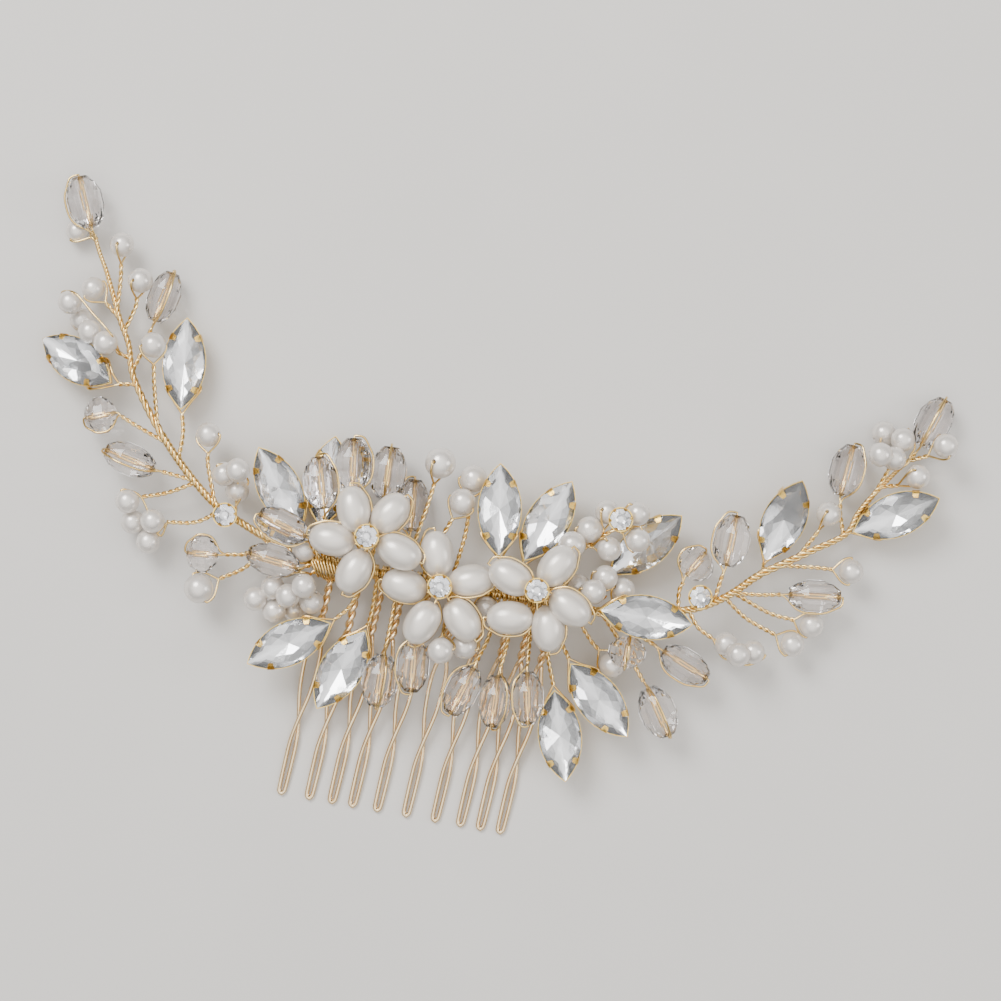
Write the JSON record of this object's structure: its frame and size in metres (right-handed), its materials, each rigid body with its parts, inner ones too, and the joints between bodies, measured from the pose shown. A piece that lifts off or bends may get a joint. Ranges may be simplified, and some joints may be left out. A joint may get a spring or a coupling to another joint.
{
  "type": "decorative hair comb",
  "caption": "Wire hair comb with a bound vine of pearls, faceted crystals, marquise rhinestones and pearl flowers; two side arms bend to follow the head.",
  "frame": {"origin": "middle of the underside of the whole comb as it lies on its back", "axes": "+X along the comb rail towards the right arm, +Y from the tooth tips towards the rail, +Z out of the decorated front"},
  "size_m": [0.1488, 0.0946, 0.0179],
  "materials": {
    "vine_wire": "gold-plated copper wire, bright",
    "comb_wire": "champagne gold plated steel wire, bright",
    "pearl": "ivory pearl lacquer, glossy",
    "crystal": "clear cut glass, polished",
    "rhinestone": "foil-backed cut glass, polished"
  },
  "bodies": {
    "comb": {"centre_wire": "vine_wire", "comb_wire": "comb_wire", "crown_chaton_stone": "rhinestone", "crown_marquise_stone_left": "rhinestone", "crown_marquise_stone_outer": "rhinestone", "crown_marquise_stone_right": "rhinestone", "fan_marquise_stone_left": "rhinestone", "fan_marquise_stone_low": "rhinestone", "fringe_marquise_stone_1": "rhinestone", "fringe_marquise_stone_2": "rhinestone", "fringe_marquise_stone_3": "rhinestone", "fringe_marquise_stone_4": "rhinestone", "knot_pearl_cluster": "pearl", "left_flower_petals": "pearl", "left_flower_stone": "rhinestone", "left_rail_binding": "vine_wire", "middle_flower_petals": "pearl", "middle_flower_stone": "rhinestone", "right_flower_petals": "pearl", "right_flower_stone": "rhinestone", "right_rail_binding": "vine_wire", "side_marquise_stone": "rhinestone"},
    "left_arm": {"left_arm_wire": "vine_wire", "left_chaton_stone": "rhinestone", "left_marquise_stone_inner": "rhinestone", "left_marquise_stone_upper": "rhinestone", "left_pearl_quartet": "pearl", "left_pearl_strand": "pearl", "left_pearl_trio": "pearl"},
    "right_arm": {"right_arm_wire": "vine_wire", "right_chaton_stone": "rhinestone", "right_marquise_stone_inner": "rhinestone", "right_marquise_stone_outer": "rhinestone", "right_pearl_quartet": "pearl", "right_pearl_trio": "pearl"},
    "left_tip_crystal": {"left_tip_crystal": "crystal"},
    "left_upper_crystal": {"left_upper_crystal": "crystal"},
    "left_lower_crystal": {"left_lower_crystal": "crystal"},
    "left_round_crystal": {"left_round_crystal": "crystal"},
    "right_tip_crystal": {"right_tip_crystal": "crystal"},
    "right_outer_crystal": {"right_outer_crystal": "crystal"},
    "right_upper_crystal": {"right_upper_crystal": "crystal"},
    "right_lower_crystal": {"right_lower_crystal": "crystal"},
    "right_round_crystal": {"right_round_crystal": "crystal"},
    "fan_crystal_1": {"fan_crystal_1": "crystal"},
    "fan_crystal_2": {"fan_crystal_2": "crystal"},
    "fan_crystal_3": {"fan_crystal_3": "crystal"},
    "fan_crystal_4": {"fan_crystal_4": "crystal"},
    "fan_crystal_5": {"fan_crystal_5": "crystal"},
    "fan_crystal_6": {"fan_crystal_6": "crystal"},
    "knot_round_crystal": {"knot_round_crystal": "crystal"},
    "fringe_crystal_1": {"fringe_crystal_1": "crystal"},
    "fringe_crystal_2": {"fringe_crystal_2": "crystal"},
    "fringe_crystal_3": {"fringe_crystal_3": "crystal"},
    "fringe_crystal_4": {"fringe_crystal_4": "crystal"},
    "fringe_crystal_5": {"fringe_crystal_5": "crystal"},
    "side_crystal_1": {"side_crystal_1": "crystal"},
    "side_crystal_2": {"side_crystal_2": "crystal"},
    "side_round_crystal": {"side_round_crystal": "crystal"}
  },
  "joints": [
    {"name": "left_arm_bend", "type": "hinge", "parent": "comb", "child": "left_arm", "pos_m": [-0.0365, -0.0042, 0.006], "axis": [0, 1, 0], "range_deg": [-30, 30]},
    {"name": "right_arm_bend", "type": "hinge", "parent": "comb", "child": "right_arm", "pos_m": [0.0325, -0.0063, 0.006], "axis": [0, -1, 0], "range_deg": [-30, 30]},
    {"name": "left_tip_crystal_spin", "type": "hinge", "parent": "left_arm", "child": "left_tip_crystal", "pos_m": [-0.071, 0.0425, 0.0044], "axis": [-0.4067, 0.9135, 0], "continuous": true},
    {"name": "left_upper_crystal_spin", "type": "hinge", "parent": "left_arm", "child": "left_upper_crystal", "pos_m": [-0.056, 0.0297, 0.0033], "axis": [0.1908, 0.9816, 0], "continuous": true},
    {"name": "left_lower_crystal_spin", "type": "hinge", "parent": "left_arm", "child": "left_lower_crystal", "pos_m": [-0.0565, 0.0028, 0.005], "axis": [-0.9781, 0.2079, 0], "continuous": true},
    {"name": "left_round_crystal_spin", "type": "hinge", "parent": "left_arm", "child": "left_round_crystal", "pos_m": [-0.0625, 0.009, 0.0042], "axis": [-0.9397, -0.342, 0], "continuous": true},
    {"name": "right_tip_crystal_spin", "type": "hinge", "parent": "right_arm", "child": "right_tip_crystal", "pos_m": [0.0706, 0.0317, 0.0032], "axis": [0.309, 0.9511, 0], "continuous": true},
    {"name": "right_outer_crystal_spin", "type": "hinge", "parent": "right_arm", "child": "right_outer_crystal", "pos_m": [0.0582, 0.0216, 0.0034], "axis": [0.0872, 0.9962, 0], "continuous": true},
    {"name": "right_upper_crystal_spin", "type": "hinge", "parent": "right_arm", "child": "right_upper_crystal", "pos_m": [0.0415, 0.0071, 0.006], "axis": [0.0349, 0.9994, 0], "continuous": true},
    {"name": "right_lower_crystal_spin", "type": "hinge", "parent": "right_arm", "child": "right_lower_crystal", "pos_m": [0.0562, 0.0007, 0.0061], "axis": [0.9925, 0.1219, 0], "continuous": true},
    {"name": "right_round_crystal_spin", "type": "hinge", "parent": "right_arm", "child": "right_round_crystal", "pos_m": [0.0365, 0.0024, 0.006], "axis": [0.5, 0.866, 0], "continuous": true},
    {"name": "fan_crystal_1_spin", "type": "hinge", "parent": "comb", "child": "fan_crystal_1", "pos_m": [-0.0249, 0.0046, 0.0108], "axis": [-0.2756, 0.9613, 0], "continuous": true},
    {"name": "fan_crystal_2_spin", "type": "hinge", "parent": "comb", "child": "fan_crystal_2", "pos_m": [-0.0206, 0.0084, 0.0082], "axis": [-0.1392, 0.9903, 0], "continuous": true},
    {"name": "fan_crystal_3_spin", "type": "hinge", "parent": "comb", "child": "fan_crystal_3", "pos_m": [-0.015, 0.0081, 0.0055], "axis": [-0.0349, 0.9994, 0], "continuous": true},
    {"name": "fan_crystal_4_spin", "type": "hinge", "parent": "comb", "child": "fan_crystal_4", "pos_m": [-0.0102, 0.0036, 0.0032], "axis": [-0.0872, 0.9962, 0], "continuous": true},
    {"name": "fan_crystal_5_spin", "type": "hinge", "parent": "comb", "child": "fan_crystal_5", "pos_m": [-0.0298, -0.0032, 0.0105], "axis": [-0.9613, 0.2756, 0], "continuous": true},
    {"name": "fan_crystal_6_spin", "type": "hinge", "parent": "comb", "child": "fan_crystal_6", "pos_m": [-0.0305, -0.009, 0.0087], "axis": [-0.9925, 0.1219, 0], "continuous": true},
    {"name": "knot_round_crystal_spin", "type": "hinge", "parent": "comb", "child": "knot_round_crystal", "pos_m": [-0.0421, -0.0101, 0.006], "axis": [-0.9945, -0.1045, 0], "continuous": true},
    {"name": "fringe_crystal_1_spin", "type": "hinge", "parent": "comb", "child": "fringe_crystal_1", "pos_m": [-0.0103, -0.025, 0.0076], "axis": [0.0175, -0.9998, 0], "continuous": true},
    {"name": "fringe_crystal_2_spin", "type": "hinge", "parent": "comb", "child": "fringe_crystal_2", "pos_m": [-0.0054, -0.0216, 0.0096], "axis": [0.0872, -0.9962, 0], "continuous": true},
    {"name": "fringe_crystal_3_spin", "type": "hinge", "parent": "comb", "child": "fringe_crystal_3", "pos_m": [0.003, -0.0242, 0.0088], "axis": [-0.2924, -0.9563, 0], "continuous": true},
    {"name": "fringe_crystal_4_spin", "type": "hinge", "parent": "comb", "child": "fringe_crystal_4", "pos_m": [0.0085, -0.0251, 0.0064], "axis": [0.0523, -0.9986, 0], "continuous": true},
    {"name": "fringe_crystal_5_spin", "type": "hinge", "parent": "comb", "child": "fringe_crystal_5", "pos_m": [0.0135, -0.0234, 0.0096], "axis": [0.1908, -0.9816, 0], "continuous": true},
    {"name": "side_crystal_1_spin", "type": "hinge", "parent": "comb", "child": "side_crystal_1", "pos_m": [0.0376, -0.0139, 0.006], "axis": [0.9272, -0.3746, 0], "continuous": true},
    {"name": "side_crystal_2_spin", "type": "hinge", "parent": "comb", "child": "side_crystal_2", "pos_m": [0.0347, -0.0222, 0.0055], "axis": [0.5592, -0.829, 0], "continuous": true},
    {"name": "side_round_crystal_spin", "type": "hinge", "parent": "comb", "child": "side_round_crystal", "pos_m": [0.0279, -0.0134, 0.0092], "axis": [0, -1, 0], "continuous": true}
  ]
}
